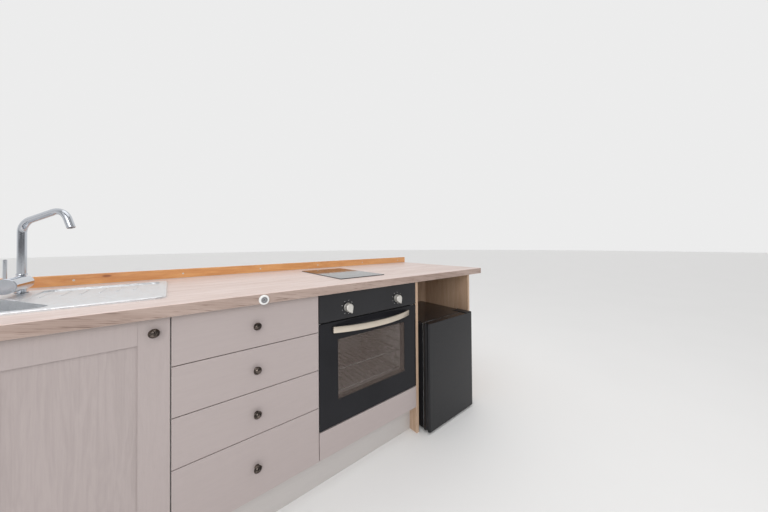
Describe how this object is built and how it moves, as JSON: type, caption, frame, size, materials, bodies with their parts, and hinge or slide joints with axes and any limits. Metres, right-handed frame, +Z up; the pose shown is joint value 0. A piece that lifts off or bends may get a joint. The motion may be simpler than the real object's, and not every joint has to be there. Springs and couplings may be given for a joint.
{
  "type": "fitted kitchen run of a glamping pod",
  "caption": "Fitted kitchen run with a sink and tap, cupboards, drawers, a built-under oven and hob, and a small fridge in an oak bay.",
  "frame": {"origin": "on the floor, under the middle of the run's bounding box", "axes": "+Z up, +X along the run from the sink to the fridge, +Y back to the wall; the doors and drawers face -Y"},
  "size_m": [2.594, 0.86, 1.2354],
  "materials": {
    "worktop_oak": "light oak laminate, satin",
    "pine": "stained and varnished pine",
    "sink_steel": "fine linen-pattern stainless steel",
    "waste_plastic": "white plastic with a steel strainer",
    "tap_chrome": "polished",
    "hob_glass": "gloss black glass",
    "carcass_board": "pale melamine-faced board",
    "front_board": "greige wood-grain foil, satin",
    "plinth_board": "cool pale grey board",
    "oak_panel": "light oak laminate, satin",
    "leg_plastic": "black plastic",
    "knob_bronze": "dark antique bronze",
    "hinge_steel": "nickel plated",
    "runner_steel": "pale powder coat",
    "oven_casing_metal": "plain galvanised sheet",
    "oven_enamel": "dark speckled enamel",
    "rack_wire": "plated wire",
    "oven_black_glass": "gloss black printed glass",
    "oven_door_metal": "black",
    "handle_metal": "brushed champagne",
    "oven_knob_metal": "satin silver grey",
    "fridge_black": "gloss black",
    "fridge_shelf_glass": "clear",
    "tray_plastic": "clear to white plastic",
    "holder_plastic": "white ring"
  },
  "bodies": {
    "kitchen": {"worktop": "worktop_oak", "upstand": "pine", "sink_deck": "sink_steel", "sink_bowl": "sink_steel", "sink_waste": "waste_plastic", "tap_body": "tap_chrome", "hob": "hob_glass", "sink_unit_sides": "carcass_board", "drawer_unit_sides": "carcass_board", "oven_unit_sides": "carcass_board", "carcass_floors": "carcass_board", "carcass_backs": "carcass_board", "carcass_rails": "carcass_board", "door_post": "carcass_board", "plinth": "plinth_board", "legs": "leg_plastic", "left_end_panel": "oak_panel", "oven_side_panel": "oak_panel", "right_end_panel": "oak_panel", "niche_back": "oak_panel", "door_hinges": "hinge_steel", "drawer_runners": "runner_steel", "oven_casing": "oven_casing_metal", "oven_cavity": "oven_enamel", "oven_side_rails": "rack_wire", "oven_racks": "rack_wire", "oven_control_panel": "oven_black_glass", "oven_filler": "front_board", "fridge_cabinet": "fridge_black", "fridge_shelves": "fridge_shelf_glass", "fridge_feet": "leg_plastic", "fridge_hinges": "hinge_steel", "oven_door_hinges": "hinge_steel", "towel_holder": "holder_plastic"},
    "door_left": {"door_left": "front_board", "door_left_knob": "knob_bronze"},
    "door_right": {"door_right": "front_board", "door_right_knob": "knob_bronze"},
    "oven_door": {"oven_door": "oven_door_metal", "oven_door_glass": "oven_black_glass", "oven_handle": "handle_metal"},
    "oven_knob_left": {"oven_knob_left": "oven_knob_metal"},
    "oven_knob_right": {"oven_knob_right": "oven_knob_metal"},
    "fridge_door": {"fridge_door": "fridge_black", "fridge_door_trays": "tray_plastic"},
    "tap_spout": {"tap_spout": "tap_chrome"},
    "tap_lever": {"tap_lever": "tap_chrome"},
    "drawer_1": {"drawer_1_box": "carcass_board", "drawer_1_front": "front_board", "drawer_1_knob": "knob_bronze"},
    "drawer_2": {"drawer_2_box": "carcass_board", "drawer_2_front": "front_board", "drawer_2_knob": "knob_bronze"},
    "drawer_3": {"drawer_3_box": "carcass_board", "drawer_3_front": "front_board", "drawer_3_knob": "knob_bronze"},
    "drawer_4": {"drawer_4_box": "carcass_board", "drawer_4_front": "front_board", "drawer_4_knob": "knob_bronze"}
  },
  "joints": [
    {"name": "door_left_hinge", "type": "hinge", "parent": "kitchen", "child": "door_left", "pos_m": [-1.2575, -0.37, 0.51], "axis": [0, 0, -1], "range_deg": [0, 95]},
    {"name": "door_right_hinge", "type": "hinge", "parent": "kitchen", "child": "door_right", "pos_m": [-0.8575, -0.37, 0.51], "axis": [0, 0, -1], "range_deg": [0, 95]},
    {"name": "drawer_1_slide", "type": "slide", "parent": "kitchen", "child": "drawer_1", "axis": [0, -1, 0], "range_m": [0, 0.45]},
    {"name": "drawer_2_slide", "type": "slide", "parent": "kitchen", "child": "drawer_2", "axis": [0, -1, 0], "range_m": [0, 0.45]},
    {"name": "drawer_3_slide", "type": "slide", "parent": "kitchen", "child": "drawer_3", "axis": [0, -1, 0], "range_m": [0, 0.45]},
    {"name": "drawer_4_slide", "type": "slide", "parent": "kitchen", "child": "drawer_4", "axis": [0, -1, 0], "range_m": [0, 0.45]},
    {"name": "oven_door_hinge", "type": "hinge", "parent": "kitchen", "child": "oven_door", "pos_m": [0.341, -0.37, 0.2755], "axis": [1, 0, 0], "range_deg": [0, 90]},
    {"name": "oven_knob_left_turn", "type": "hinge", "parent": "kitchen", "child": "oven_knob_left", "pos_m": [0.1865, -0.37, 0.7955], "axis": [0, 1, 0], "range_deg": [0, 315]},
    {"name": "oven_knob_right_turn", "type": "hinge", "parent": "kitchen", "child": "oven_knob_right", "pos_m": [0.4955, -0.37, 0.7955], "axis": [0, 1, 0], "range_deg": [0, 270]},
    {"name": "fridge_door_hinge", "type": "hinge", "parent": "kitchen", "child": "fridge_door", "pos_m": [1.105, -0.42, 0.321], "axis": [0, 0, 1], "range_deg": [0, 105]},
    {"name": "tap_spout_swivel", "type": "hinge", "parent": "kitchen", "child": "tap_spout", "pos_m": [-0.896, 0.2, 0.9823], "axis": [0, 0, 1], "range_deg": [-105, 105]},
    {"name": "tap_lever_turn", "type": "hinge", "parent": "kitchen", "child": "tap_lever", "pos_m": [-0.896, 0.074, 0.955], "axis": [0, 1, 0], "range_deg": [-45, 45]}
  ]
}
